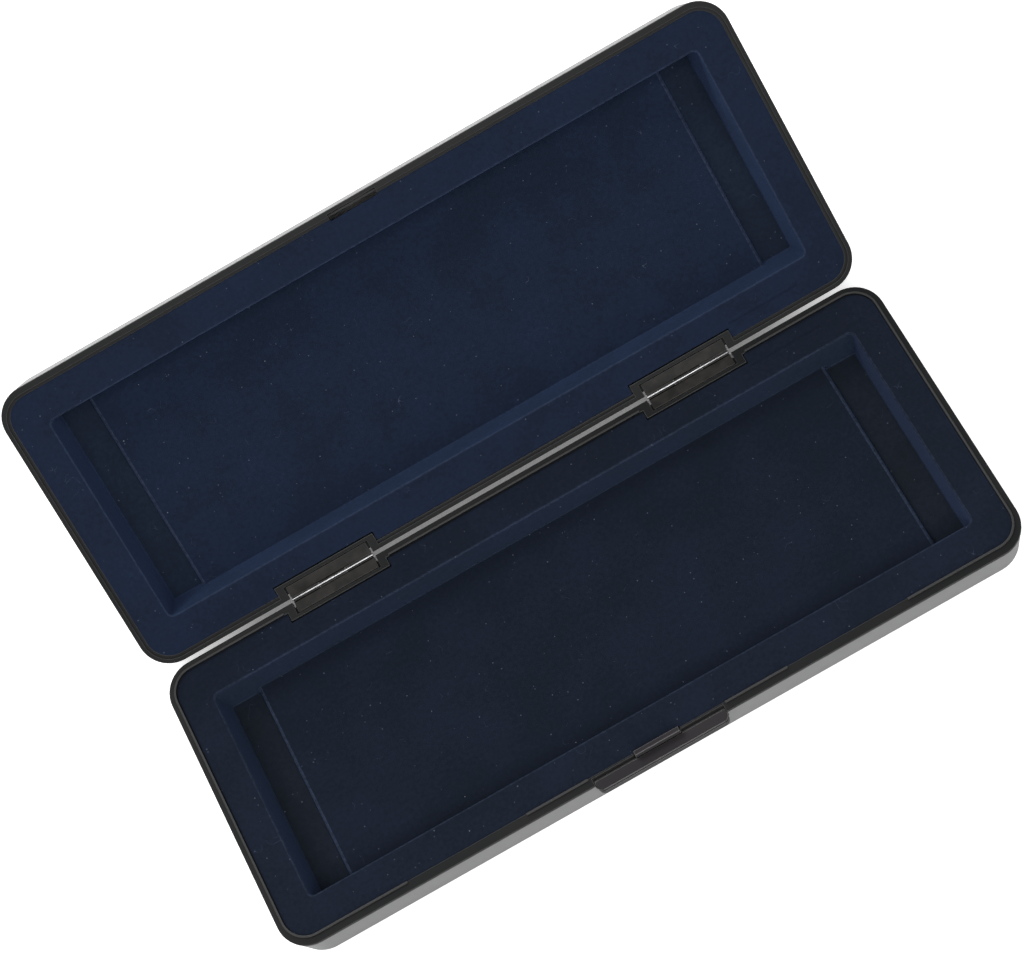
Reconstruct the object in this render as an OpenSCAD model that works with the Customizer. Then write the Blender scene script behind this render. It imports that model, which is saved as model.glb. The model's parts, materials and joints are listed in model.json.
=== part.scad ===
// Hinged two-half case for a large mouth organ, drawn standing open.
// Origin: middle of the base's flat underside. +X along the hinge line,
// +Y from the latch towards the hinges, +Z up.

/* [Case] */
// Length of both halves
case_len = 220; // [190:1:260]
// Depth of each half from its front to its hinge side
half_w = 86; // [80:1:100]
// Height of the base half
base_h = 16; // [16:0.5:20]
// Height of the lid half
lid_h = 20.7; // [20:0.1:26]
// Radius of the outer corners seen from above
corner_r = 8.8; // [8:0.1:12]
// How far each wall leans in from rim to bottom
wall_lean = 0.7; // [0.2:0.1:0.9]
// Wall thickness of the outer shells
shell_t = 1.2; // [1.2:0.1:1.3]
// Radius of the rounded bottom edge
edge_r = 1; // [0.8:0.1:1.6]
// Lean of the open lid above the table
lid_lean = 33.8; // [20:0.1:40]

/* [Rim] */
// Width of the black rim along the opening edge
rim_w = 2.6; // [2.6:0.05:2.8]
// Width of the black rim at the ends and along the hinges
side_w = 2.1; // [2.1:0.05:2.4]
// Height of the tongue on the base rim
tongue_h = 0.6; // [0.4:0.05:0.65]
// Width of the tongue
tongue_w = 0.6; // [0.5:0.05:0.65]

/* [Lining] */
// Thickness of the lining sheet with its flock
lining_t = 0.9; // [0.8:0.05:0.95]
// Distance from the outer long edges to the hollow
hollow_in_y = 11.9; // [11:0.1:14]
// Distance from the outer ends to the hollow
hollow_in_x = 11.2; // [10.5:0.1:14]
// Depth of the hollow in the base
base_hollow = 10; // [8:0.1:10.5]
// Depth of the hollow in the lid
lid_hollow = 13; // [10:0.1:14]
// Extra depth of the end troughs
trough_d = 2.6; // [1.5:0.1:2.8]
// Length of each end trough
trough_w = 11; // [8:0.5:16]

/* [Hinges] */
// Distance of each hinge from the middle
hinge_x = 55.3; // [45:0.1:60]
// Length of the leaves
leaf_len = 25.2; // [20.4:0.3:26.4]
// Reach of each leaf from the pin
leaf_w = 3.9; // [3.6:0.1:4]
// Outer radius of the knuckles
knuckle_r = 0.8; // [0.75:0.05:0.85]
// Radius of the pin
pin_r = 0.35; // [0.3:0.05:0.4]

/* [Latch] */
// Width of the thumb plate
plate_w = 38.6; // [34:0.2:39]
// Height of the thumb plate
plate_h = 4.8; // [4.6:0.1:5.4]
// How far the plate stands out of the front wall
plate_out = 1.9; // [1.8:0.1:2.6]
// Travel of the plate when it is pressed in
press = 0.6; // [0.5:0.05:0.7]
// Width of the hook
hook_w = 13.2; // [10:0.1:14]
// Height of the hook above the rim
hook_h = 2.6; // [2.4:0.05:2.8]

/* [Hidden] */
$fn = 48;
e = 0.01;
hx = case_len / 2;
// pin line beside and above each rim's hinge-side edge
gap_y = 0.5;
rim_z = -0.15;
axis_y = half_w / 2 + gap_y;
axis_z = base_h - rim_z;
// rim: land, skirt inside the shell, shelf under the lining
land_t = 1;
skirt_a = shell_t + 0.1 + 0.3 * wall_lean;
skirt_b = skirt_a + 0.55;
skirt_z = 4.6;
tray_z = -0.6;
tray_gap = 0.15;
shelf_z = tray_z - lining_t;
shelf_low = -3;
shelf_in = 3.9;
break_x = 56.4;
break_len = 35.4;
// lining
hollow_r = 1.5;
hollow_edge = 0.4;
hollow_lean = 0.8;
trough_lean = 0.9;
bead_x = hx - 28;
bead_in = 6.6;
bead_r = 1.25;
bead_len = 21;
// hinges
bracket_in = 4.65;
bracket_len = leaf_len + 5.4;
leaf_t = 1;
leaf_gap = 0.2;
third = leaf_len / 3;
knuckle_gap = 0.1;
swing_gap = 0.15;
hook_lip = 0.25;
// latch
plate_back = 0.95;
plate_r = 1.6;
plate_gap = 0.15;
web_top = -3.2;
flange_a = skirt_b + 0.1;
flange_b = flange_a + 1;
flange_side = 1.8;
flange_low = -plate_h - 1.4;
pocket_wall = 1.2;
seat_in = 7;
spring_t = 0.35;
spring_h = 2.4;
ledge_in = 1;
barb_tip = 0.65;
barb_low = 1.5;
hook_in = 1.15;
hook_t = 1.25;
hook_gap = 0.3;
slot_in = hook_in + hook_t + press + 0.1;

// Each half is drawn with its rim up at z = 0 and its hinge-side edge
// along y = 0; y grows towards its opening edge, x runs along the hinge.

// Puts a half's drawing where the base stands.
module in_base()
    translate([0, axis_y, axis_z + rim_z])
        mirror([0, 1, 0])
            translate([0, gap_y, 0]) children();

// Puts a half's drawing where the open lid leans.
module in_lid()
    translate([0, axis_y, axis_z])
        rotate([lid_lean, 0, 0])
            translate([0, gap_y, rim_z]) children();

// Rounded rectangle from -x0 to x0 and from y0 to y1.
module rounded(x0, y0, y1, r) {
    translate([-x0, y0 + r]) square([2 * x0, y1 - y0 - 2 * r]);
    translate([r - x0, y0]) square([2 * x0 - 2 * r, y1 - y0]);
    for (sx = [-1, 1], y = [y0 + r, y1 - r])
        translate([sx * (x0 - r), y]) circle(r);
}

// Outline of a half, set in by d from its outer edge.
module outline(d)
    rounded(hx - d, d, half_w - d, max(corner_r - d, 0.4));

// Inner edge of the rim, set in by d.
module opening(d)
    rounded(hx - side_w - d, side_w + d, half_w - rim_w - d, corner_r - side_w - d);

// Ring of the outline between two set-ins, from z0 up to z1.
module ring(d0, d1, z0, z1)
    translate([0, 0, z0])
        linear_extrude(z1 - z0)
            difference() {
                outline(d0);
                outline(d1);
            }

// One corner post of a leaning, round-edged tub.
module post(r_top, r_low, depth, er)
    rotate_extrude($fn = 40)
        polygon(concat([[0, -depth]],
            [for (a = [-90:15:0]) [r_low - er + er * cos(a), -depth + er + er * sin(a)]],
            [[r_top, 0], [0, 0]]));

// Solid tub: x0 and y0..y1 at the top, leaning in towards the bottom.
module tub(x0, y0, y1, r, depth, lean, er)
    hull()
        for (sx = [-1, 1], sy = [0, 1])
            translate([sx * (x0 - r), sy == 0 ? y0 + r : y1 - r, 0])
                post(r, r - lean, depth, er);

// Outer shell of one half: a thin tub that ends under the black rim.
module shell(height) {
    difference() {
        tub(hx, 0, half_w, corner_r, height, wall_lean, edge_r);
        translate([0, 0, -e])
            tub(hx - shell_t, shell_t, half_w - shell_t, corner_r - shell_t,
                height - shell_t - 0.3, wall_lean, edge_r - 0.4);
        translate([-hx - 1, -1, -land_t])
            cube([case_len + 2, half_w + 2, land_t + 1]);
    }
}

module base_shell() {
    color([0.5, 0.5, 0.5])
        in_base()
            difference() {
                shell(base_h);
                // window that the thumb plate goes through
                translate([-plate_w / 2 - 2 * plate_gap, half_w - 4, -plate_h - 2 * plate_gap])
                    cube([plate_w + 4 * plate_gap, 6, plate_h + 2]);
            }
}

module lid_shell() {
    color([0.5, 0.5, 0.5])
        in_lid()
            difference() {
                shell(lid_h);
                // room for the hook inside the wall
                translate([-hook_w / 2 - 4 * hook_gap, half_w - 5, -hook_h - 1])
                    cube([hook_w + 8 * hook_gap, 5 - 0.55, hook_h + 1]);
            }
}

// Black rim of one half: a flat land, a skirt inside the shell, a shelf
// that carries the lining, and a socket for each hinge leaf.
module frame() {
    difference() {
        union() {
            translate([0, 0, -land_t])
                linear_extrude(land_t)
                    difference() {
                        outline(0);
                        opening(0);
                    }
            translate([0, 0, shelf_z - e])
                linear_extrude(-land_t - shelf_z + 2 * e)
                    difference() {
                        outline(skirt_a);
                        opening(0);
                    }
            ring(skirt_a, skirt_b, -skirt_z, -land_t);
            ring(skirt_b - e, shelf_in, shelf_low, shelf_z);
            for (side = [-1, 1])
                translate([side * hinge_x - bracket_len / 2, skirt_a, shelf_low])
                    cube([bracket_len, bracket_in - skirt_a, -shelf_low]);
        }
        for (side = [-1, 1])
            translate([side * hinge_x, 0, 0]) {
                // recess for the leaf, and room for the knuckles
                translate([-leaf_len / 2 - 2 * leaf_gap, -1, -leaf_t - 0.05])
                    cube([leaf_len + 4 * leaf_gap, 1 + leaf_w - gap_y + leaf_gap, leaf_t + 1]);
                on_pin() cylinder(r = knuckle_r + 0.3, h = leaf_len + 4 * leaf_gap, center = true);
            }
    }
}

module base_frame() {
    slot_a = plate_back + 1.1;
    color([0.16, 0.16, 0.16])
        in_base()
            difference() {
                union() {
                    frame();
                    base_tongue();
                    // pocket that guides the flange and backs the spring
                    translate([-plate_w / 2 - flange_side - pocket_wall - plate_gap,
                        half_w - seat_in - pocket_wall, flange_low - pocket_wall])
                        cube([plate_w + 2 * (flange_side + pocket_wall + plate_gap),
                            seat_in + pocket_wall - skirt_b + e,
                            shelf_z - 0.3 - flange_low + pocket_wall]);
                }
                // slot that the plate sinks into
                translate([-plate_w / 2 - plate_gap, half_w - slot_a, -plate_h - plate_gap])
                    cube([plate_w + 2 * plate_gap, 6, plate_h + 2]);
                // way through for the web behind the plate
                translate([-plate_w / 2 - plate_gap, half_w - seat_in, -plate_h - plate_gap])
                    cube([plate_w + 2 * plate_gap, seat_in + 1, plate_h + web_top + 2 * plate_gap]);
                // room for the flange, open above behind the shelf
                translate([-plate_w / 2 - flange_side - plate_gap, half_w - seat_in,
                    flange_low - plate_gap])
                    cube([plate_w + 2 * (flange_side + plate_gap), seat_in - skirt_b,
                        web_top - flange_low + 2 * plate_gap]);
                translate([-plate_w / 2 - flange_side - plate_gap, half_w - seat_in, web_top])
                    cube([plate_w + 2 * (flange_side + plate_gap), seat_in - shelf_in, 3]);
                // hole for the hook
                translate([-hook_w / 2 - hook_gap, half_w - slot_in, web_top])
                    cube([hook_w + 2 * hook_gap, slot_in - plate_back - 0.2, 4]);
            }
}

// Tongue along the rim's inner edge, broken at the hinges, at the latch
// and at two places along the front.
module base_tongue()
    difference() {
        translate([0, 0, -e])
            linear_extrude(tongue_h + e)
                difference() {
                    opening(-tongue_w);
                    opening(0);
                }
        for (side = [-1, 1]) {
            translate([side * hinge_x - bracket_len / 2 - 1, -1, -1])
                cube([bracket_len + 2, 10, 3]);
            translate([side * break_x - break_len / 2, half_w - 6, -1])
                cube([break_len, 10, 3]);
        }
        translate([-plate_w / 2 - 1, half_w - 6, -1]) cube([plate_w + 2, 10, 3]);
    }

module lid_frame() {
    color([0.16, 0.16, 0.16])
        in_lid()
            difference() {
                frame();
                // groove that takes the tongue, open towards the lining
                difference() {
                    translate([0, 0, -tongue_h - 0.15])
                        linear_extrude(2)
                            difference() {
                                opening(-tongue_w - 0.25);
                                opening(1);
                            }
                    for (side = [-1, 1])
                        translate([side * hinge_x - bracket_len / 2, -1, -2])
                            cube([bracket_len, 8, 4]);
                }
                // slot for the hook, with a ledge that the barb catches
                translate([-hook_w / 2 - 2 * hook_gap, half_w - slot_in, -hook_h - 0.8])
                    cube([hook_w + 4 * hook_gap, slot_in - ledge_in, hook_h + 2]);
                translate([-hook_w / 2 - 2 * hook_gap, half_w - slot_in, -hook_h - 0.8])
                    cube([hook_w + 4 * hook_gap, slot_in - 0.55, hook_h + 0.8 - land_t]);
            }
}

// Lining: a formed sheet with a flange on the shelf and one hollow.
module lining(depth) {
    x0 = hx - hollow_in_x;
    y0 = hollow_in_y;
    y1 = half_w - hollow_in_y;
    lt = lining_t;
    difference() {
        union() {
            translate([0, 0, shelf_z]) linear_extrude(lining_t) opening(tray_gap);
            translate([0, 0, tray_z])
                tub(x0 + lt, y0 - lt, y1 + lt, hollow_r + lt, depth + lt, hollow_lean,
                    hollow_edge + 0.8);
            for (side = [-1, 1])
                translate([side * (x0 - trough_w / 2), 0, tray_z])
                    tub(trough_w / 2 + lt, y0 - lt, y1 + lt, hollow_r + lt,
                        depth + trough_d + lt, trough_lean, hollow_edge + 0.8);
            // low bead beside the right hinge
            translate([bead_x, bead_in, shelf_z])
                rotate([0, 90, 0]) cylinder(r = bead_r, h = bead_len, center = true);
        }
        translate([0, 0, tray_z + e])
            tub(x0, y0, y1, hollow_r, depth, hollow_lean, hollow_edge);
        for (side = [-1, 1])
            translate([side * (x0 - trough_w / 2), 0, tray_z + e])
                tub(trough_w / 2, y0, y1, hollow_r, depth + trough_d, trough_lean, hollow_edge);
        translate([bead_x - bead_len / 2 - 1, bead_in - 2, shelf_z - 2])
            cube([bead_len + 2, 4, 2]);
        // cut-outs round the hinge sockets
        for (side = [-1, 1])
            translate([side * hinge_x - bracket_len / 2 - 2 * leaf_gap, 0, -4])
                cube([bracket_len + 4 * leaf_gap, bracket_in + 2 * leaf_gap, 6]);
    }
}

module base_lining()
    color([0.13, 0.16, 0.24])
        in_base()
            difference() {
                lining(base_hollow);
                translate([-hook_w / 2 - hook_gap, half_w - slot_in, -5])
                    cube([hook_w + 2 * hook_gap, slot_in, 6]);
            }

module lid_lining()
    color([0.13, 0.16, 0.24])
        in_lid()
            difference() {
                lining(lid_hollow);
                translate([-hook_w / 2 - 2 * hook_gap, half_w - slot_in, -5])
                    cube([hook_w + 4 * hook_gap, slot_in, 6]);
            }

// Puts a drawing round z on the pin line, along x.
module on_pin()
    translate([0, -gap_y, -rim_z]) rotate([0, 90, 0]) children();

// Knuckle at x, open above so that it snaps over the pin.
module knuckle(x)
    translate([x, 0, 0])
        difference() {
            union() {
                on_pin() cylinder(r = knuckle_r, h = third - 2 * knuckle_gap, center = true);
                translate([knuckle_gap - third / 2, -gap_y, -0.6 * knuckle_r])
                    cube([third - 2 * knuckle_gap, 1, 0.6 * knuckle_r]);
            }
            translate([-third, -gap_y - 2, hook_lip]) cube([2 * third, 4, 2]);
        }

// One hinge leaf in a half's drawing; mid gives it the middle knuckle.
module leaf(side, mid) {
    own = mid ? [0] : [-1, 1];
    other = mid ? [-1, 1] : [0];
    translate([side * hinge_x, 0, 0])
        difference() {
            union() {
                translate([-leaf_len / 2, leaf_gap, -leaf_t])
                    cube([leaf_len, leaf_w - gap_y - leaf_gap, leaf_t]);
                for (s = own) knuckle(s * third);
            }
            // room for the other leaf's knuckles
            for (s = other)
                translate([s * third, 0, 0])
                    on_pin() cylinder(r = knuckle_r + swing_gap, h = third - 0.4 * knuckle_gap, center = true);
            on_pin() cylinder(r = pin_r + 0.05, h = leaf_len + 4, center = true);
        }
}

module hinge_pin(side)
    translate([side * hinge_x, axis_y, axis_z])
        rotate([0, 90, 0])
            cylinder(r = pin_r, h = leaf_len, center = true);

module hinge_left_base_leaf() color([0.12, 0.12, 0.12]) in_base() leaf(-1, true);
module hinge_left_lid_leaf() color([0.12, 0.12, 0.12]) in_lid() leaf(-1, false);
module hinge_left_pin() color([0.75, 0.75, 0.76]) hinge_pin(-1);
module hinge_right_base_leaf() color([0.12, 0.12, 0.12]) in_base() leaf(1, true);
module hinge_right_lid_leaf() color([0.12, 0.12, 0.12]) in_lid() leaf(1, false);
module hinge_right_pin() color([0.75, 0.75, 0.76]) hinge_pin(1);

// Thumb plate seen from above: square inside, rounded outer corners.
module plate_outline(out, w)
    intersection() {
        translate([-w / 2, half_w - plate_back]) square([w, plate_back + out]);
        union() {
            translate([-w / 2, half_w - plate_back]) square([w, plate_back + out - plate_r]);
            translate([plate_r - w / 2, half_w - plate_back])
                square([w - 2 * plate_r, plate_back + out]);
            for (s = [-1, 1])
                translate([s * (w / 2 - plate_r), half_w + out - plate_r]) circle(plate_r);
        }
    }

// Latch button: thumb plate, web through the wall, flange and hook.
module latch_button() {
    groove_z = -0.44 * plate_h;
    color([0.15, 0.15, 0.15])
        in_base()
            union() {
                difference() {
                    translate([0, 0, -plate_h])
                        linear_extrude(plate_h) plate_outline(plate_out, plate_w);
                    // finger groove round the front
                    translate([0, 0, groove_z])
                        linear_extrude(0.9)
                            difference() {
                                plate_outline(plate_out + 1, plate_w + 2);
                                plate_outline(plate_out - 0.4, plate_w - 0.8);
                            }
                }
                translate([-plate_w / 2, half_w - flange_b, -plate_h])
                    cube([plate_w, flange_b - plate_back + e, plate_h + web_top]);
                translate([-plate_w / 2 - flange_side, half_w - flange_b, flange_low])
                    cube([plate_w + 2 * flange_side, flange_b - flange_a, web_top - flange_low]);
                // hook with its barb
                translate([hook_w / 2, 0, 0])
                    rotate([0, -90, 0])
                        linear_extrude(hook_w)
                            polygon([[web_top - e, half_w - hook_in - hook_t],
                                [hook_h, half_w - hook_in - hook_t],
                                [hook_h, half_w - hook_in],
                                [barb_low + 0.4, half_w - barb_tip],
                                [barb_low, half_w - barb_tip],
                                [barb_low, half_w - hook_in],
                                [web_top - e, half_w - hook_in]]);
            }
}

// Bowed leaf spring between the button's flange and the pocket's back.
module latch_spring() {
    rise = seat_in - flange_b - 0.1;
    chord = 0.4 * plate_w;
    big = (chord * chord + rise * rise) / (2 * rise);
    color([0.7, 0.7, 0.72])
        in_base()
            translate([0, 0, (flange_low + web_top - spring_h) / 2])
                linear_extrude(spring_h)
                    intersection() {
                        translate([0, half_w - flange_b - 0.05 - big])
                            difference() {
                                circle(big, $fn = 120);
                                circle(big - spring_t, $fn = 120);
                            }
                        translate([-chord, half_w - seat_in + 0.05]) square([2 * chord, 10]);
                    }
}

base_shell();
base_frame();
base_lining();
lid_shell();
lid_frame();
lid_lining();
hinge_left_base_leaf();
hinge_left_lid_leaf();
hinge_left_pin();
hinge_right_base_leaf();
hinge_right_lid_leaf();
hinge_right_pin();
latch_button();
latch_spring();
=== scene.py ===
"""An open clamshell case for a large mouth organ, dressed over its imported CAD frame."""

import json
import math

import bmesh
import bpy
from mathutils import Matrix, Vector


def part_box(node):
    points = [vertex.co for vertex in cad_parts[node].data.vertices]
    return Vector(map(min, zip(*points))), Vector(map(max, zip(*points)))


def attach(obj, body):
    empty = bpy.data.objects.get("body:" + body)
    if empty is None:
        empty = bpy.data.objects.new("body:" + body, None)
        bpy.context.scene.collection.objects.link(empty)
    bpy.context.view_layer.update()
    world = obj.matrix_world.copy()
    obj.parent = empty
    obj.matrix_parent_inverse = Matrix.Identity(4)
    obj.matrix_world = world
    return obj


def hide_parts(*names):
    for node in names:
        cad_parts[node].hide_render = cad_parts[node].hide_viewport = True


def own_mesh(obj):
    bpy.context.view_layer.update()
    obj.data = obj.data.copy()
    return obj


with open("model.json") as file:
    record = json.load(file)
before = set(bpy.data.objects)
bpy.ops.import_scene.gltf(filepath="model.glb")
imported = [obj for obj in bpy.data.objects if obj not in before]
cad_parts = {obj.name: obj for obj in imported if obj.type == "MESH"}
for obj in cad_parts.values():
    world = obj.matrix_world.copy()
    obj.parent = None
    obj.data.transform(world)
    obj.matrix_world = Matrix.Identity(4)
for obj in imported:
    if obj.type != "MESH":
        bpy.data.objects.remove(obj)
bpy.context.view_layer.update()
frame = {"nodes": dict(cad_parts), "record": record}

# The table, the light and the camera. The case lies open on a white sheet
# under broad soft light from the upper left, seen from high over its front.
scene = bpy.context.scene
scene.view_settings.view_transform = "Standard"

world = bpy.data.worlds.new("soft_room")
scene.world = world
world.use_nodes = True
world_nodes = world.node_tree.nodes
world_links = world.node_tree.links
world_nodes.clear()
room = world_nodes.new("ShaderNodeBackground")
room.inputs["Color"].default_value = (0.96, 0.98, 1.0, 1)
room.inputs["Strength"].default_value = 0.18
seen = world_nodes.new("ShaderNodeBackground")
seen.inputs["Color"].default_value = (1, 1, 1, 1)
seen.inputs["Strength"].default_value = 1.0
ray = world_nodes.new("ShaderNodeLightPath")
choose = world_nodes.new("ShaderNodeMixShader")
sky_out = world_nodes.new("ShaderNodeOutputWorld")
world_links.new(ray.outputs["Is Camera Ray"], choose.inputs["Fac"])
world_links.new(room.outputs[0], choose.inputs[1])
world_links.new(seen.outputs[0], choose.inputs[2])
world_links.new(choose.outputs[0], sky_out.inputs["Surface"])


def soft_box(name, place, aim, size, watts):
    """A square studio lamp at place that points at aim."""
    data = bpy.data.lights.new(name, "AREA")
    data.shape = "SQUARE"
    data.size = size
    data.energy = watts
    lamp = bpy.data.objects.new(name, data)
    lamp.location = place
    lamp.rotation_mode = "QUATERNION"
    lamp.rotation_quaternion = (Vector(aim) - Vector(place)).to_track_quat("-Z", "Y")
    scene.collection.objects.link(lamp)


case_middle = (0, 0.03, 0.02)
lid_back = (0, 0.08, 0.03)
soft_box("key_upper_left", (-0.5, 0.62, 1.15), case_middle, 0.6, 4.8)
soft_box("fill_front", (0.2, -1.1, 0.5), case_middle, 0.8, 2.0)
soft_box("broad_overhead", (0.0, -0.5, 1.1), case_middle, 0.7, 7.5)
soft_box("over_the_back", (-0.1, 1.2, 0.35), lid_back, 0.7, 12.5)

floor_bm = bmesh.new()
bmesh.ops.create_grid(floor_bm, x_segments=2, y_segments=2, size=4.0)
below_case = -0.00002
bmesh.ops.translate(floor_bm, vec=(0, 0, below_case), verts=floor_bm.verts)
floor_mesh = bpy.data.meshes.new("floor")
floor_bm.to_mesh(floor_mesh)
floor_bm.free()
floor = bpy.data.objects.new("floor", floor_mesh)
scene.collection.objects.link(floor)

floor_material = bpy.data.materials.new("white_sheet")
floor_material.use_nodes = True
sheet_nodes = floor_material.node_tree.nodes
sheet_links = floor_material.node_tree.links
sheet_nodes.clear()
matte = sheet_nodes.new("ShaderNodeBsdfDiffuse")
matte.inputs["Color"].default_value = (0.9, 0.9, 0.9, 1)
glow = sheet_nodes.new("ShaderNodeEmission")
glow.inputs["Color"].default_value = (1, 1, 1, 1)
camera_ray = sheet_nodes.new("ShaderNodeLightPath")
lift = sheet_nodes.new("ShaderNodeMixShader")
both = sheet_nodes.new("ShaderNodeAddShader")
sheet_out = sheet_nodes.new("ShaderNodeOutputMaterial")
sheet_links.new(matte.outputs[0], both.inputs[0])
sheet_links.new(glow.outputs[0], both.inputs[1])
sheet_links.new(camera_ray.outputs["Is Camera Ray"], lift.inputs["Fac"])
sheet_links.new(matte.outputs[0], lift.inputs[1])
sheet_links.new(both.outputs[0], lift.inputs[2])
sheet_links.new(lift.outputs[0], sheet_out.inputs["Surface"])

# The sheet keeps its real shade in the slit between the two halves, most of
# all at the middle of the hinge line, and reads as clean white elsewhere,
# far out as well, where the lamps no longer reach.
slit_y = 0.045
slit_glow, sheet_glow, far_glow = 0.17, 0.66, 1.0
sheet_at = sheet_nodes.new("ShaderNodeTexCoord")
sheet_xyz = sheet_nodes.new("ShaderNodeSeparateXYZ")
sheet_links.new(sheet_at.outputs["Object"], sheet_xyz.inputs[0])
along = sheet_nodes.new("ShaderNodeMath")
along.operation = "ABSOLUTE"
sheet_links.new(sheet_xyz.outputs["X"], along.inputs[0])
across = sheet_nodes.new("ShaderNodeMath")
across.operation = "SUBTRACT"
across.inputs[1].default_value = slit_y
sheet_links.new(sheet_xyz.outputs["Y"], across.inputs[0])
off_slit = sheet_nodes.new("ShaderNodeMath")
off_slit.operation = "ABSOLUTE"
sheet_links.new(across.outputs[0], off_slit.inputs[0])
far_out = sheet_nodes.new("ShaderNodeVectorMath")
far_out.operation = "LENGTH"
sheet_links.new(sheet_at.outputs["Object"], far_out.inputs[0])
clear = []
for distance, near, far, white in (
    (along, 0.075, 0.112, sheet_glow),
    (off_slit, 0.018, 0.032, sheet_glow),
    (far_out, 0.3, 0.9, far_glow),
):
    ramp = sheet_nodes.new("ShaderNodeMapRange")
    ramp.interpolation_type = "SMOOTHSTEP"
    ramp.inputs["From Min"].default_value = near
    ramp.inputs["From Max"].default_value = far
    ramp.inputs["To Min"].default_value = slit_glow
    ramp.inputs["To Max"].default_value = white
    sheet_links.new(distance.outputs["Value"], ramp.inputs["Value"])
    clear.append(ramp.outputs["Result"])
for other in clear[1:]:
    clean = sheet_nodes.new("ShaderNodeMath")
    clean.operation = "MAXIMUM"
    sheet_links.new(clear[0], clean.inputs[0])
    sheet_links.new(other, clean.inputs[1])
    clear[0] = clean.outputs[0]
sheet_links.new(clear[0], glow.inputs["Strength"])
floor.data.materials.append(floor_material)

eye = bpy.data.objects.new("camera", bpy.data.cameras.new("camera"))
eye.data.sensor_width = 36.0
eye.data.lens = 88.45
eye.data.clip_start = 0.05
eye.data.clip_end = 20.0
eye.matrix_world = (
    Matrix.Translation((0.02036, -0.21102, 0.64644))
    @ Matrix.Rotation(math.radians(4.49), 4, "Z")
    @ Matrix.Rotation(math.radians(90 - 67.99), 4, "X")
    @ Matrix.Rotation(math.radians(-33.88), 4, "Z")
)
scene.collection.objects.link(eye)
scene.camera = eye


# The two outer shells: satin silver-grey injection-moulded tubs, one for the
# base and one for the lid, with rounded corners and slightly leaning walls.
# Each half is drawn with its rim up, its hinge side along y = 0, in metres.
shell_low, shell_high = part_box("base_shell")
case_length = shell_high[0] - shell_low[0]
half_width = shell_high[1] - shell_low[1]
land = 0.001
base_depth = shell_high[2] + land
lid_depth = 0.0207
corner = 0.0088
lid_lean = math.radians(33.8)
hinge_line = Vector(frame["record"]["behaviour"]["joints"][0]["pos_m"])
base_place = Matrix.Translation((0, shell_high[1], base_depth)) @ Matrix.Scale(-1, 4, (0, 1, 0))
lid_place = (
    Matrix.Translation(hinge_line)
    @ Matrix.Rotation(lid_lean, 4, "X")
    @ Matrix.Translation((0, hinge_line.y - shell_high[1], base_depth - hinge_line.z))
)


def rounded_sheet(bm, inset, radius, height, segments=12):
    """One flat face: the outline of a half, set in by inset, with rounded corners."""
    made = bmesh.ops.create_grid(bm, x_segments=1, y_segments=1, size=0.5)
    verts = made["verts"]
    bmesh.ops.scale(bm, vec=(case_length - 2 * inset, half_width - 2 * inset, 1), verts=verts)
    bmesh.ops.translate(bm, vec=(0, half_width / 2, height), verts=verts)
    face = verts[0].link_faces[0]
    bmesh.ops.bevel(
        bm, geom=list(face.verts), offset=radius, offset_type="OFFSET", segments=segments,
        profile=0.5, affect="VERTICES", clamp_overlap=False, material=-1,
    )
    return next(f for f in bm.faces if abs(f.calc_center_median().z - height) < 1e-7)


def score(bm, low, high):
    """Cuts the faces along the sides of a box."""
    low, high = Vector(low), Vector(high)
    reach = 0.004
    for axis in range(3):
        for value in (low[axis], high[axis]):
            normal = Vector((0, 0, 0))
            normal[axis] = 1
            near = [
                f for f in bm.faces
                if all(
                    min(v.co[i] for v in f.verts) <= high[i] + reach
                    and max(v.co[i] for v in f.verts) >= low[i] - reach
                    for i in range(3)
                )
            ]
            parts = near + list({e for f in near for e in f.edges})
            parts += list({v for f in near for v in f.verts})
            bmesh.ops.bisect_plane(
                bm, geom=parts, dist=1e-7, plane_co=normal * value, plane_no=normal
            )


def cut_window(bm, low, high):
    """Scores the faces along a box and removes what lies inside it."""
    score(bm, low, high)
    inside = [
        f for f in bm.faces
        if all(low[i] - 1e-6 < f.calc_center_median()[i] < high[i] + 1e-6 for i in range(3))
    ]
    bmesh.ops.delete(bm, geom=inside, context="FACES")


def finish_piece(bm, name, place, material, body, replaced, smooth=30):
    """Puts a drawing in its place and makes it a piece that rides on its body."""
    bmesh.ops.transform(bm, matrix=place, verts=bm.verts)
    if place.determinant() < 0:
        bmesh.ops.reverse_faces(bm, faces=bm.faces)
    mesh = bpy.data.meshes.new(name)
    bm.to_mesh(mesh)
    bm.free()
    mesh.shade_smooth()
    mesh.set_sharp_from_angle(angle=math.radians(smooth))
    mesh.materials.append(material)
    piece = bpy.data.objects.new(name, mesh)
    scene.collection.objects.link(piece)
    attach(piece, body)
    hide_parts(*replaced)
    return piece


def drawn_copy(node, place):
    """A merged copy of a CAD node, taken back from its place to its half's drawing."""
    bm = bmesh.new()
    bm.from_mesh(frame["nodes"][node].data)
    bmesh.ops.remove_doubles(bm, verts=bm.verts, dist=1e-6)
    bmesh.ops.transform(bm, matrix=place.inverted(), verts=bm.verts)
    if place.determinant() < 0:
        bmesh.ops.reverse_faces(bm, faces=bm.faces)
    bmesh.ops.dissolve_limit(bm, angle_limit=math.radians(0.6), verts=bm.verts, edges=bm.edges)
    bm.faces.layers.float.new("painted_light")
    return bm


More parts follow.
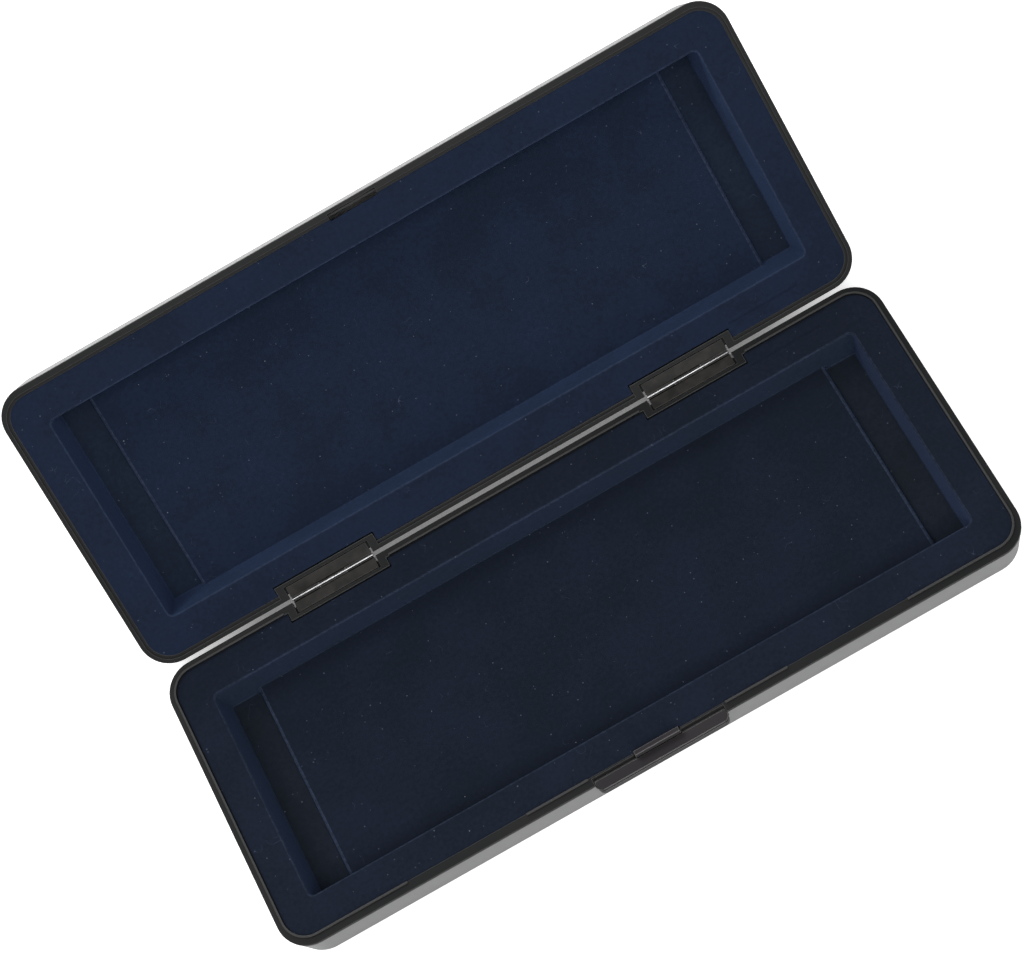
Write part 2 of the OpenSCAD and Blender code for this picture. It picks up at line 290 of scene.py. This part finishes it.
def ease_edges(bm, offset, segments, wanted, highlight_share=1.0, shortest=0.0003):
    """Rounds the sharp outer edges that pass the test and marks the new faces for a painted
    highlight.
    """
    sharp = [
        e for e in bm.edges
        if len(e.link_faces) == 2
        and e.calc_face_angle_signed(0) > math.radians(40)
        and e.calc_length() > shortest
        and wanted(e.verts[0].co, e.verts[1].co)
    ]
    made = bmesh.ops.bevel(
        bm, geom=sharp, offset=offset, offset_type="OFFSET", segments=segments,
        profile=0.5, affect="EDGES", clamp_overlap=False, material=-1,
    )
    painted_light = bm.faces.layers.float["painted_light"]
    for face in made["faces"]:
        face[painted_light] = highlight_share


def even_shading(piece):
    """Lets the large faces rule the normals, so that flats stay flat beside soft edges."""
    weighted = piece.modifiers.new("even_shading", "WEIGHTED_NORMAL")
    weighted.keep_sharp = True


def srgb(red, green, blue):
    """A colour read off a screen, 0 to 255, as the shader's linear colour."""
    def one(c):
        c /= 255
        return c / 12.92 if c <= 0.04045 else ((c + 0.055) / 1.055) ** 2.4

    return (one(red), one(green), one(blue), 1)


def new_group(name, inputs, outputs):
    """A shader node group with float inputs and named outputs, and its two ends."""
    group = bpy.data.node_groups.new(name, "ShaderNodeTree")
    for label, default in inputs:
        socket = group.interface.new_socket(label, in_out="INPUT", socket_type="NodeSocketFloat")
        socket.default_value = default
    for label, kind in outputs:
        group.interface.new_socket(label, in_out="OUTPUT", socket_type=kind)
    start = group.nodes.new("NodeGroupInput")
    end = group.nodes.new("NodeGroupOutput")
    return group, start, end


def put(tree, kind, **settings):
    """Adds a node; settings name its properties, or its inputs with spaces as underscores."""
    node = tree.nodes.new(kind)
    for key, value in settings.items():
        if hasattr(node, key):
            setattr(node, key, value)
        else:
            node.inputs[key.replace("_", " ")].default_value = value
    return node


# Fine moulded grain: a small pebble in height, and a slow drift in tone.
grain, grain_in, grain_out = new_group(
    "moulded_grain",
    [("Grain", 4000.0), ("Drift", 40.0)],
    [("Height", "NodeSocketFloat"), ("Tone", "NodeSocketFloat")],
)
place_on = put(grain, "ShaderNodeTexCoord")
pebble = put(grain, "ShaderNodeTexNoise", Detail=3.0, Roughness=0.6)
slow = put(grain, "ShaderNodeTexNoise", Detail=2.0, Roughness=0.5)
grain.links.new(place_on.outputs["Object"], pebble.inputs["Vector"])
grain.links.new(place_on.outputs["Object"], slow.inputs["Vector"])
grain.links.new(grain_in.outputs["Grain"], pebble.inputs["Scale"])
grain.links.new(grain_in.outputs["Drift"], slow.inputs["Scale"])
grain.links.new(pebble.outputs["Fac"], grain_out.inputs["Height"])
grain.links.new(slow.outputs["Fac"], grain_out.inputs["Tone"])


def moulded(
    name, dark, light, roughness, grain_scale, bump, specular=0.5, painted_highlight=None, drift=40.0
):
    """Moulded plastic: tone drifts between two colours, with a fine grain and painted highlights
    on marked faces.
    """
    material = bpy.data.materials.new(name)
    material.use_nodes = True
    tree = material.node_tree
    tree.nodes.clear()
    skin = put(tree, "ShaderNodeBsdfPrincipled")
    skin.inputs["Specular IOR Level"].default_value = specular
    end = put(tree, "ShaderNodeOutputMaterial")
    texture = put(tree, "ShaderNodeGroup", node_tree=grain)
    texture.inputs["Grain"].default_value = grain_scale
    texture.inputs["Drift"].default_value = drift
    tone = put(tree, "ShaderNodeValToRGB")
    tone.color_ramp.elements[0].position = 0.35
    tone.color_ramp.elements[0].color = dark
    tone.color_ramp.elements[1].position = 0.65
    tone.color_ramp.elements[1].color = light
    rough = put(tree, "ShaderNodeMapRange")
    rough.inputs["To Min"].default_value = roughness - 0.05
    rough.inputs["To Max"].default_value = roughness + 0.05
    height = put(tree, "ShaderNodeBump", Strength=bump, Distance=0.0001)
    tree.links.new(texture.outputs["Tone"], tone.inputs["Fac"])
    tree.links.new(texture.outputs["Tone"], rough.inputs["Value"])
    tree.links.new(texture.outputs["Height"], height.inputs["Height"])
    tree.links.new(rough.outputs["Result"], skin.inputs["Roughness"])
    tree.links.new(height.outputs["Normal"], skin.inputs["Normal"])
    tree.links.new(skin.outputs[0], end.inputs["Surface"])
    if painted_highlight:
        edge = put(tree, "ShaderNodeAttribute", attribute_name="painted_light")
        amount = put(tree, "ShaderNodeMath", operation="MULTIPLY")
        mixed = put(tree, "ShaderNodeMix", data_type="RGBA")
        mixed.inputs["B"].default_value = painted_highlight
        patchy = put(tree, "ShaderNodeMapRange")
        patchy.inputs["From Min"].default_value = 0.3
        patchy.inputs["From Max"].default_value = 0.7
        patchy.inputs["To Min"].default_value = 0.6
        tree.links.new(texture.outputs["Height"], patchy.inputs["Value"])
        tree.links.new(edge.outputs["Fac"], amount.inputs[0])
        tree.links.new(patchy.outputs["Result"], amount.inputs[1])
        tree.links.new(amount.outputs[0], mixed.inputs["Factor"])
        tree.links.new(tone.outputs["Color"], mixed.inputs["A"])
        tree.links.new(mixed.outputs["Result"], skin.inputs["Base Color"])
    else:
        tree.links.new(tone.outputs["Color"], skin.inputs["Base Color"])
    return material


silver = moulded("satin_silver", srgb(138, 138, 138), srgb(141, 141, 141), 0.4, 5000.0, 0.06)


def shell(name, depth, place, body, windows, hook_room):
    """A thin tub: outline pulled down, leaned in, its bottom edge rounded.

    The wall is thinner at hook_room, where the latch's hook needs its inner side.
    """
    bm = bmesh.new()
    top = rounded_sheet(bm, 0.0, corner, -land)
    pulled = bmesh.ops.extrude_face_region(bm, geom=[top])["geom"]
    low = [v for v in pulled if isinstance(v, bmesh.types.BMVert)]
    bmesh.ops.translate(bm, vec=(0, 0, land - depth), verts=low)
    lean, bottom_round, edge_round, tub_wall = 0.0007, 0.001, 0.00025, 0.0012
    bmesh.ops.scale(
        bm, verts=low,
        vec=((case_length - 2 * lean) / case_length, (half_width - 2 * lean) / half_width, 1),
        space=Matrix.Translation((0, -half_width / 2, 0)),
    )
    bottom_edges = [e for e in bm.edges if all(abs(v.co.z + depth) < 1e-6 for v in e.verts)]
    bmesh.ops.bevel(
        bm, geom=bottom_edges, offset=bottom_round, offset_type="OFFSET", segments=6,
        profile=0.5, affect="EDGES", clamp_overlap=False, material=-1,
    )
    lids = [f for f in bm.faces if all(abs(v.co.z + land) < 1e-6 for v in f.verts)]
    bmesh.ops.delete(bm, geom=lids, context="FACES")
    for low_corner, high_corner in windows:
        cut_window(bm, low_corner, high_corner)
    for low_corner, high_corner in hook_room:
        score(bm, low_corner, high_corner)
    bmesh.ops.recalc_face_normals(bm, faces=bm.faces)
    replaced = [name.replace("_tub", "_shell")]
    piece = finish_piece(bm, name, place, silver, body, replaced)
    wall = piece.modifiers.new("wall", "SOLIDIFY")
    wall.thickness = tub_wall
    wall.offset = -1
    wall.use_even_offset = True
    if hook_room:
        low_corner, high_corner = (Vector(end) for end in hook_room[0])
        back = place.inverted()
        share = piece.vertex_groups.new(name="wall_share")
        thin_share = 0.42
        for vertex in piece.data.vertices:
            at = back @ vertex.co
            thin = all(low_corner[i] - 1e-6 < at[i] < high_corner[i] + 1e-6 for i in range(3))
            share.add([vertex.index], thin_share if thin else 1.0, "REPLACE")
        wall.vertex_group = "wall_share"
    round_off = piece.modifiers.new("soft_edges", "BEVEL")
    round_off.width = edge_round
    round_off.segments = 2
    round_off.limit_method = "ANGLE"
    round_off.angle_limit = math.radians(50)
    round_off.harden_normals = True
    return piece


# Boxes in a half's drawing: the opening for the thumb plate in the base's wall,
# and the room for its hook in the lid's, with a narrow step to the full wall.
plate_window = ((-0.0196, 0.082, -0.0051), (0.0196, 0.088, 0.0))
hook_room = (
    ((-0.0078, 0.084, -0.0036), (0.0078, 0.088, 0.0)),
    ((-0.0082, 0.084, -0.0040), (0.0082, 0.088, 0.0)),
)
shell("base_tub", base_depth, base_place, "base", [plate_window], [])
shell("lid_tub", lid_depth, lid_place, "lid", [], hook_room)


# The two black rims: moulded frames that clip inside the shells. The base's
# carries a raised tongue, the lid's a groove for it, and both hold the hinges.
# The last colour is a painted highlight, mixed in where faces are marked below.
black = moulded(
    "black_rim", srgb(29, 30, 31), srgb(35, 35, 36), 0.48, 6000.0, 0.12, 0.14, srgb(80, 80, 80)
)

tongue_foot = 0.0002
hinge_edge = 0.0006
latch_half = 0.022
latch_reach = half_width - 0.0075
for part, place in (("base", base_place), ("lid", lid_place)):
    rim = drawn_copy(part + "_frame", place)
    painted_light = rim.faces.layers.float["painted_light"]

    # painted highlight on the raised tongue and on all upper edges
    for face in rim.faces:
        if face.calc_center_median().z > tongue_foot:
            face[painted_light] = 0.7
    ease_edges(rim, 0.00014, 2, lambda a, b: min(a.z, b.z) > -0.0009, 0.9)

    # no painted highlight on the hinge side; the slots of the latch are painted lighter inside,
    # painted light over their shade
    for face in rim.faces:
        middle = face.calc_center_median()
        if middle.y < hinge_edge:
            face[painted_light] = 0.0
        if abs(middle.x) < latch_half and middle.y > latch_reach and middle.z < -0.0004:
            face[painted_light] = 1.0
    even_shading(finish_piece(rim, part + "_rim", place, black, part, [part + "_frame"]))


# The hinges: smooth leaves in sockets of the rims, a little lighter than the
# rims, whose knuckles snap round a thin steel pin that shows along the seam.
# The leaves' last colour is a painted highlight along their eased upper edges.
leaf_grey = moulded(
    "leaf_grey", srgb(34, 33, 32), srgb(50, 48, 46), 0.48, 3000.0, 0.15, 0.18,
    srgb(84, 83, 80), 330.0,
)
pin_steel = bpy.data.materials.new("pin_steel")
pin_steel.use_nodes = True
pin_tree = pin_steel.node_tree
pin_tree.nodes.clear()
pin_skin = put(pin_tree, "ShaderNodeBsdfPrincipled")
pin_skin.inputs["Metallic"].default_value = 1.0
pin_end = put(pin_tree, "ShaderNodeOutputMaterial")
pin_grain = put(pin_tree, "ShaderNodeGroup", node_tree=grain)
pin_grain.inputs["Grain"].default_value = 9000.0
pin_grain.inputs["Drift"].default_value = 400.0
pin_tone = put(pin_tree, "ShaderNodeValToRGB")
pin_tone.color_ramp.elements[0].color = srgb(140, 140, 142)
pin_tone.color_ramp.elements[1].color = srgb(196, 196, 197)
pin_rough = put(pin_tree, "ShaderNodeMapRange")
pin_rough.inputs["To Min"].default_value = 0.2
pin_rough.inputs["To Max"].default_value = 0.35
pin_tree.links.new(pin_grain.outputs["Tone"], pin_tone.inputs["Fac"])
pin_tree.links.new(pin_grain.outputs["Height"], pin_rough.inputs["Value"])
pin_tree.links.new(pin_tone.outputs["Color"], pin_skin.inputs["Base Color"])
pin_tree.links.new(pin_rough.outputs["Result"], pin_skin.inputs["Roughness"])
pin_tree.links.new(pin_skin.outputs[0], pin_end.inputs["Surface"])

for side in ("left", "right"):
    for part, place in (("base", base_place), ("lid", lid_place)):
        node = f"hinge_{side}_{part}_leaf"
        leaf = drawn_copy(node, place)
        ends = [v.co.x for v in leaf.verts]
        middle = (min(ends) + max(ends)) / 2
        shortened = 0.988
        bmesh.ops.scale(
            leaf, vec=(shortened, 1, 1), verts=leaf.verts,
            space=Matrix.Translation((-middle, 0, 0)),
        )
        # painted highlight on the leaves' upper eased edges
        ease_edges(leaf, 0.0001, 2, lambda a, b: min(a.z, b.z) > -0.0002, 0.8)
        piece = finish_piece(
            leaf, f"{side}_{part}_leaf", place, leaf_grey, part, [node]
        )
        even_shading(piece)
    pin = f"hinge_{side}_pin"
    pin_low, pin_high = (Vector(end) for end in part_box(pin))
    pin_radius = (pin_high.z - pin_low.z) / 2
    bm = bmesh.new()
    bmesh.ops.create_cone(
        bm, cap_ends=True, segments=32, radius1=pin_radius, radius2=pin_radius,
        depth=pin_high.x - pin_low.x, matrix=Matrix.Rotation(math.pi / 2, 4, "Y"),
    )
    rims = [e for e in bm.edges if e.calc_face_angle(0) > 1]
    bmesh.ops.bevel(
        bm, geom=rims, offset=0.0001, offset_type="OFFSET", segments=3,
        profile=0.5, affect="EDGES", material=-1,
    )
    at_hinge = Matrix.Translation((pin_low + pin_high) / 2)
    finish_piece(bm, f"{side}_pin", at_hinge, pin_steel, "base", [pin])


# The linings: thin sheets formed over a mould and flocked in dark blue, with
# one long hollow each and a deeper trough at both ends of the hollow.
def caught_specks():
    """Group: tiny light specks caught on the pile, one chance in each cell."""
    group, start, end = new_group(
        "caught_specks",
        [("Cells", 900.0), ("Amount", 0.05), ("Largest", 0.2)],
        [("Mask", "NodeSocketFloat")],
    )
    where = put(group, "ShaderNodeTexCoord")
    cells = put(group, "ShaderNodeTexVoronoi", feature="F1")
    group.links.new(where.outputs["Object"], cells.inputs["Vector"])
    group.links.new(start.outputs["Cells"], cells.inputs["Scale"])
    chance = put(group, "ShaderNodeSeparateColor")
    group.links.new(cells.outputs["Color"], chance.inputs["Color"])
    picked = put(group, "ShaderNodeMath", operation="LESS_THAN")
    group.links.new(chance.outputs["Red"], picked.inputs[0])
    group.links.new(start.outputs["Amount"], picked.inputs[1])
    size = put(group, "ShaderNodeMath", operation="MULTIPLY")
    group.links.new(chance.outputs["Green"], size.inputs[0])
    group.links.new(start.outputs["Largest"], size.inputs[1])
    spot = put(group, "ShaderNodeMath", operation="LESS_THAN")
    group.links.new(cells.outputs["Distance"], spot.inputs[0])
    group.links.new(size.outputs[0], spot.inputs[1])
    both = put(group, "ShaderNodeMath", operation="MULTIPLY")
    group.links.new(picked.outputs[0], both.inputs[0])
    group.links.new(spot.outputs[0], both.inputs[1])
    group.links.new(both.outputs[0], end.inputs["Mask"])
    return group


def stray_hairs():
    """Group: short curved hairlines, where one noise crosses its middle inside sparse patches."""
    group, start, end = new_group(
        "stray_hairs", [("Curl", 330.0), ("Patches", 170.0)], [("Mask", "NodeSocketFloat")]
    )
    where = put(group, "ShaderNodeTexCoord")
    curl = put(group, "ShaderNodeTexNoise", Detail=0.0)
    patch = put(group, "ShaderNodeTexNoise", Detail=0.0)
    group.links.new(where.outputs["Object"], curl.inputs["Vector"])
    group.links.new(where.outputs["Object"], patch.inputs["Vector"])
    group.links.new(start.outputs["Curl"], curl.inputs["Scale"])
    group.links.new(start.outputs["Patches"], patch.inputs["Scale"])
    line = put(group, "ShaderNodeMath", operation="COMPARE")
    line.inputs[1].default_value = 0.5
    line.inputs[2].default_value = 0.003
    group.links.new(curl.outputs["Fac"], line.inputs[0])
    where_thick = put(group, "ShaderNodeMath", operation="GREATER_THAN")
    where_thick.inputs[1].default_value = 0.75
    group.links.new(patch.outputs["Fac"], where_thick.inputs[0])
    both = put(group, "ShaderNodeMath", operation="MULTIPLY")
    group.links.new(line.outputs[0], both.inputs[0])
    group.links.new(where_thick.outputs[0], both.inputs[1])
    group.links.new(both.outputs[0], end.inputs["Mask"])
    return group


specks = caught_specks()
hairs = stray_hairs()


def flocked(name, dark, light):
    """Short upright pile: a slow nap, clumps, painted highlights on edges, painted light and
    shade by surface, and lint caught on it.
    """
    material = bpy.data.materials.new(name)
    material.use_nodes = True
    pile = material.node_tree
    pile.nodes.clear()
    velvet = put(pile, "ShaderNodeBsdfPrincipled", Roughness=0.95)
    velvet.inputs["Specular IOR Level"].default_value = 0.1
    velvet.inputs["Sheen Weight"].default_value = 0.2
    velvet.inputs["Sheen Roughness"].default_value = 0.4
    velvet.inputs["Sheen Tint"].default_value = srgb(110, 135, 190)
    end = put(pile, "ShaderNodeOutputMaterial")
    where = put(pile, "ShaderNodeTexCoord")
    nap = put(pile, "ShaderNodeTexNoise", Scale=55.0, Detail=4.0, Roughness=0.55)
    fibre = put(pile, "ShaderNodeTexNoise", Scale=5200.0, Detail=2.0, Roughness=0.7)
    clump = put(pile, "ShaderNodeTexNoise", Scale=900.0, Detail=3.0, Roughness=0.6)
    for noise in (nap, fibre, clump):
        pile.links.new(where.outputs["Object"], noise.inputs["Vector"])
    nap_tone = put(pile, "ShaderNodeValToRGB")
    nap_tone.color_ramp.elements[0].position = 0.3
    nap_tone.color_ramp.elements[0].color = dark
    nap_tone.color_ramp.elements[1].position = 0.7
    nap_tone.color_ramp.elements[1].color = light
    pile.links.new(nap.outputs["Fac"], nap_tone.inputs["Fac"])
    clump_tone = put(pile, "ShaderNodeMapRange")
    clump_tone.inputs["From Min"].default_value = 0.3
    clump_tone.inputs["From Max"].default_value = 0.7
    clump_tone.inputs["To Min"].default_value = 0.86
    clump_tone.inputs["To Max"].default_value = 1.12
    pile.links.new(clump.outputs["Fac"], clump_tone.inputs["Value"])
    toned = put(pile, "ShaderNodeVectorMath", operation="SCALE")
    pile.links.new(nap_tone.outputs["Color"], toned.inputs[0])
    pile.links.new(clump_tone.outputs["Result"], toned.inputs["Scale"])

    # painted light and shade: the pile's colour is scaled for floor, walls and troughs by how
    # light falls there
    painted_shading = put(pile, "ShaderNodeAttribute", attribute_name="painted_shading")
    with_painted_shading = put(pile, "ShaderNodeVectorMath", operation="MULTIPLY")
    pile.links.new(toned.outputs["Vector"], with_painted_shading.inputs[0])
    pile.links.new(painted_shading.outputs["Vector"], with_painted_shading.inputs[1])

    # painted highlight along the mouth of the hollow and the trough ridges
    edge = put(pile, "ShaderNodeAttribute", attribute_name="painted_light")
    amount = put(pile, "ShaderNodeMath", operation="MULTIPLY")
    patches = put(pile, "ShaderNodeMapRange")
    patches.inputs["From Min"].default_value = 0.35
    patches.inputs["From Max"].default_value = 0.65
    patches.inputs["To Min"].default_value = 0.35
    pile.links.new(clump.outputs["Fac"], patches.inputs["Value"])
    pile.links.new(edge.outputs["Fac"], amount.inputs[0])
    pile.links.new(patches.outputs["Result"], amount.inputs[1])
    painted_highlight = put(pile, "ShaderNodeMix", data_type="RGBA")
    painted_highlight.inputs["B"].default_value = srgb(66, 76, 98)
    pile.links.new(amount.outputs[0], painted_highlight.inputs["Factor"])
    pile.links.new(with_painted_shading.outputs["Vector"], painted_highlight.inputs["A"])

    # lint: fine specks, a few larger ones, and short hairs
    dust = painted_highlight
    for cells, chance, largest, colour in (
        (1500.0, 0.03, 0.3, srgb(78, 86, 102)),
        (520.0, 0.02, 0.09, srgb(124, 130, 142)),
    ):
        layer = put(pile, "ShaderNodeGroup", node_tree=specks)
        layer.inputs["Cells"].default_value = cells
        layer.inputs["Amount"].default_value = chance
        layer.inputs["Largest"].default_value = largest
        dotted = put(pile, "ShaderNodeMix", data_type="RGBA")
        dotted.inputs["B"].default_value = colour
        pile.links.new(layer.outputs["Mask"], dotted.inputs["Factor"])
        pile.links.new(dust.outputs["Result"], dotted.inputs["A"])
        dust = dotted
    strays = put(pile, "ShaderNodeGroup", node_tree=hairs)
    haired = put(pile, "ShaderNodeMix", data_type="RGBA")
    haired.inputs["B"].default_value = srgb(66, 74, 92)
    pile.links.new(strays.outputs["Mask"], haired.inputs["Factor"])
    pile.links.new(dust.outputs["Result"], haired.inputs["A"])
    pile.links.new(haired.outputs["Result"], velvet.inputs["Base Color"])
    nubs = put(pile, "ShaderNodeBump", Strength=0.35, Distance=0.00015)
    pile.links.new(fibre.outputs["Fac"], nubs.inputs["Height"])
    pile.links.new(nubs.outputs["Normal"], velvet.inputs["Normal"])
    pile.links.new(velvet.outputs[0], end.inputs["Surface"])
    return material


# The base's pile is painted darker than the lid's: painted shade for the base lying flat while
# the lid faces the lamps.
flocks = {
    "base": flocked("blue_flock_base", srgb(26, 33, 44), srgb(29, 36, 51)),
    "lid": flocked("blue_flock_lid", srgb(29, 38, 55), srgb(32, 43, 64)),
}

# How much lighter or darker the pile is painted than on the flange, in red, green
# and blue: painted light and shade for troughs, floor, walls and rounded edges.
painted_shade_in_trough = (1.08, 1.02, 0.9)
painted_light_on_floor = (1.02, 1.03, 1.02)
painted_light_on_wall = (2.15, 2.2, 2.25)
painted_highlight_on_edge = (1.1, 1.1, 1.1)

# How far from the flange's level an edge of the mouth may be, and how far out
# from the middle the ridges of the end troughs are.
level_error = 0.00003
trough_side = 0.08

tray = -0.0006
for part, place, depth in (("base", base_place, 0.010), ("lid", lid_place, 0.013)):
    sheet = drawn_copy(part + "_lining", place)

    def at_mouth(a, b):
        """Edge of the hollow's mouth: in the flange's plane, away from the rim."""
        rim_side = 0.0105
        flat = max(abs(a.z - tray), abs(b.z - tray)) < level_error
        inside = all(abs(p.x) < 0.1 and rim_side < p.y < half_width - rim_side for p in (a, b))
        return flat and inside

    def at_ridge(a, b):
        """Edge where the hollow's floor drops into an end trough."""
        return all(abs(p.z - tray + depth) < 0.0002 and abs(p.x) > trough_side for p in (a, b))

    # painted light and shade per face: troughs, floor and walls each get their own scale
    painted_shading = sheet.faces.layers.float_vector.new("painted_shading")
    outer = []
    for face in sheet.faces:
        middle = face.calc_center_median()
        level = abs(face.normal.z) > 0.9
        if level and middle.z < tray - depth - 0.001:
            face[painted_shading] = painted_shade_in_trough
        elif level and middle.z < tray - depth + 0.001:
            face[painted_shading] = painted_light_on_floor
        elif middle.z < tray - 0.001:
            face[painted_shading] = painted_light_on_wall
        else:
            face[painted_shading] = (1, 1, 1)
        if abs(face.normal.z) < 0.1 and -0.0017 < middle.z < tray and abs(middle.x) > 0.0075:
            outer.append(face)

    # the pile fills the hair's breadth between the sheet's edge and the rim
    fill = 0.00012
    for vertex in {v for face in outer for v in face.verts}:
        sides = [face.normal.copy() for face in vertex.link_faces if face in outer]
        first, last = min(
            ((a, b) for a in sides for b in sides), key=lambda pair: pair[0].dot(pair[1])
        )
        vertex.co += (first + last) / (1 + first.dot(last)) * fill
    sheet.normal_update()
    # painted highlight on the rounded mouth and trough ridges
    ease_edges(sheet, 0.0005, 3, at_mouth, 0.28, 0.0)
    ease_edges(sheet, 0.0008, 4, at_ridge, 0.6, 0.0)
    # painted highlight on the new rounded faces
    for face in sheet.faces:
        if face[painted_shading].length == 0:
            face[painted_shading] = painted_highlight_on_edge
    piece = finish_piece(
        sheet, part + "_flock", place, flocks[part], part, [part + "_lining"]
    )
    even_shading(piece)


# The latch: a black thumb plate that stands out of the front wall, with a
# finger groove and a hook on its top edge. A bowed steel spring sits behind.
# The last colour is a painted highlight on the plate's eased edges.
plate_black = moulded(
    "plate_black", srgb(37, 34, 37), srgb(44, 41, 43), 0.45, 5000.0, 0.12, 0.25,
    srgb(158, 156, 156),
)
button = drawn_copy("latch_button", base_place)
# painted highlight on the plate's upper eased edges
ease_edges(button, 0.00015, 2, lambda a, b: min(a.z, b.z) > -0.0028, 1.0)

# painted highlight on the plate's edges; painted light over the shade on its back, in the gap;
# fainter painted highlight on the hook and the back edge
shade_lifted_back = half_width - 0.0008
fainter_highlight_limit = half_width + 0.0004
painted_light = button.faces.layers.float["painted_light"]
for face in button.faces:
    middle = face.calc_center_median()
    if middle.z < -0.0006 and middle.y < shade_lifted_back:
        face[painted_light] = 0.6
    elif middle.y < fainter_highlight_limit:
        face[painted_light] *= 0.35
plate = finish_piece(
    button, "thumb_plate", base_place, plate_black, "button", ["latch_button"]
)
even_shading(plate)

spring = finish_piece(
    drawn_copy("latch_spring", base_place), "bowed_spring", base_place, pin_steel, "base",
    ["latch_spring"],
)
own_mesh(spring)
